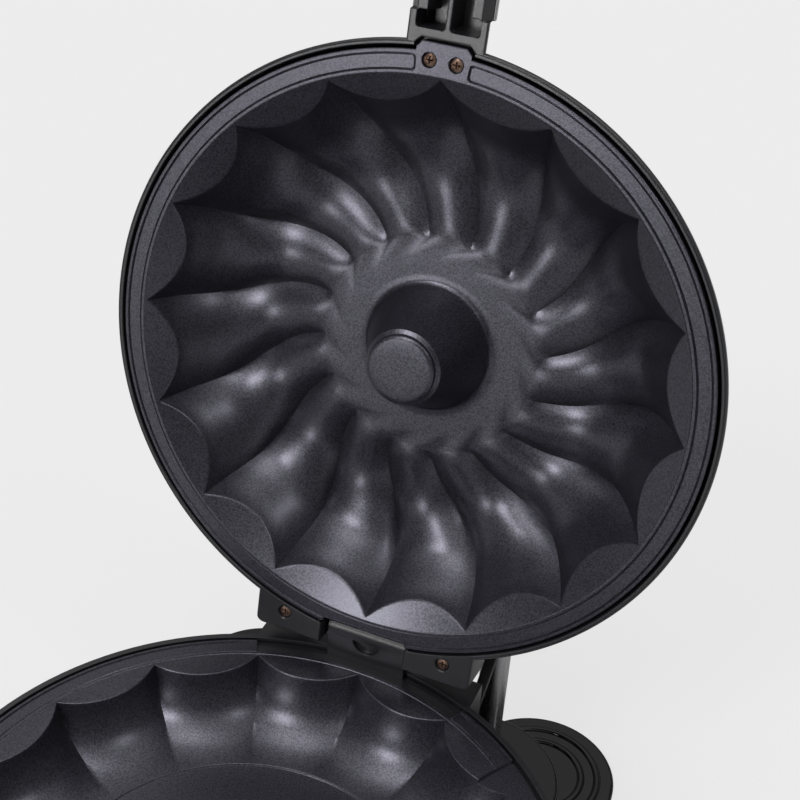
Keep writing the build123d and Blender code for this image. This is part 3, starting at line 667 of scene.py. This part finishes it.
def studio_sky():
    """Soft ceiling over dim walls: the strength grows smoothly with the height of the ray. The camera sees an
    even pale grey."""
    world = bpy.data.worlds.new("studio")
    bpy.context.scene.world = world
    world.use_nodes = True
    tree = world.node_tree
    tree.nodes.clear()
    place = add(tree, "ShaderNodeTexCoord", {}).outputs["Generated"]
    way = add(tree, "ShaderNodeSeparateXYZ", {"Vector": place})
    ceiling = add(tree, "ShaderNodeMapRange", {
        "Value": way.outputs["Z"], "From Min": 0.45, "From Max": 0.9, "To Min": 0.17, "To Max": 0.95},
        interpolation_type="SMOOTHSTEP").outputs[0]
    seen = add(tree, "ShaderNodeLightPath", {}).outputs["Is Camera Ray"]
    level = add(tree, "ShaderNodeMix", {"Factor": seen, "A": ceiling, "B": 0.83}).outputs[0]
    sky = add(tree, "ShaderNodeBackground", {"Color": (1, 1, 1, 1), "Strength": level})
    add(tree, "ShaderNodeOutputWorld", {"Surface": sky.outputs[0]})


# Suns: degrees from the front towards the right, degrees up, strength, and width in degrees
LAMPS = (("overhead", -20, 74, 0.6, 30), ("front_left", -20, 41, 1.1, 17), ("low_front", -19, 3, 0.6, 16),
         ("side_strip", 75, 44, 0.22, 8))


def from_front(azimuth, height):
    """Unit vector that points the given angles round from the front and up, both in radians."""
    flat = math.cos(height)
    return Vector((math.sin(azimuth) * flat, -math.cos(azimuth) * flat, math.sin(height)))


def lamps():
    """Broad suns, each turned to shine from its own direction."""
    for name, azimuth, height, strength, width in LAMPS:
        lamp = bpy.data.lights.new(name, "SUN")
        lamp.energy = strength
        lamp.angle = math.radians(width)
        source = bpy.data.objects.new(name, lamp)
        towards = from_front(math.radians(azimuth), math.radians(height))
        source.rotation_euler = towards.to_track_quat("Z", "Y").to_euler()
        bpy.context.scene.collection.objects.link(source)


def camera():
    """Camera whose angles, roll, lens and place in metres were fitted to the photograph's mould rims, cusps
    and hinge."""
    azimuth, elevation, roll = (math.radians(degrees) for degrees in (20.7488, 33.7332, 3.902))
    place = Vector((0.2122, -0.4068, 0.6579))
    back = from_front(azimuth, elevation)
    level = Vector((math.cos(azimuth), math.sin(azimuth), 0))
    above = back.cross(level)
    right = level * math.cos(roll) + above * math.sin(roll)
    up = above * math.cos(roll) - level * math.sin(roll)
    lens = bpy.data.cameras.new("camera")
    lens.sensor_width = 36
    lens.lens = 66.64
    eye = bpy.data.objects.new("camera", lens)
    eye.matrix_world = Matrix.Translation(place) @ Matrix((right, up, back)).transposed().to_4x4()
    bpy.context.scene.collection.objects.link(eye)
    bpy.context.scene.camera = eye


lid_mould()
base_mould()
hinge_well()
lid_dome()
lid_grip()
grip_cover()
for word, side in SIDES:
    hinge_lug(word, side)
    cross_screw("tab_screw_" + word, side * TAB_SCREW_X, TAB_SCREW_Y, 0.5, 2.9, "lid_front_screws")
    cross_screw("hinge_screw_" + word, side * LUG_SCREW_X, LUG_SCREW_Y, 0.7, 3.0, "lid_hinge_screws")
    latch_ear(word, side)
for word, side in SIDES:
    foot_beads(word, side)
    post_stay(word, side)

# Finishes of the CAD nodes that stay
for row in frame["record"]["subparts"]:
    node = frame["nodes"][row["node"]]
    node.data.materials.clear()
    node.data.materials.append(FINISHES[row["material_slot"]])

paper_floor()
studio_sky()
lamps()
camera()
bpy.context.scene.view_settings.view_transform = "Standard"
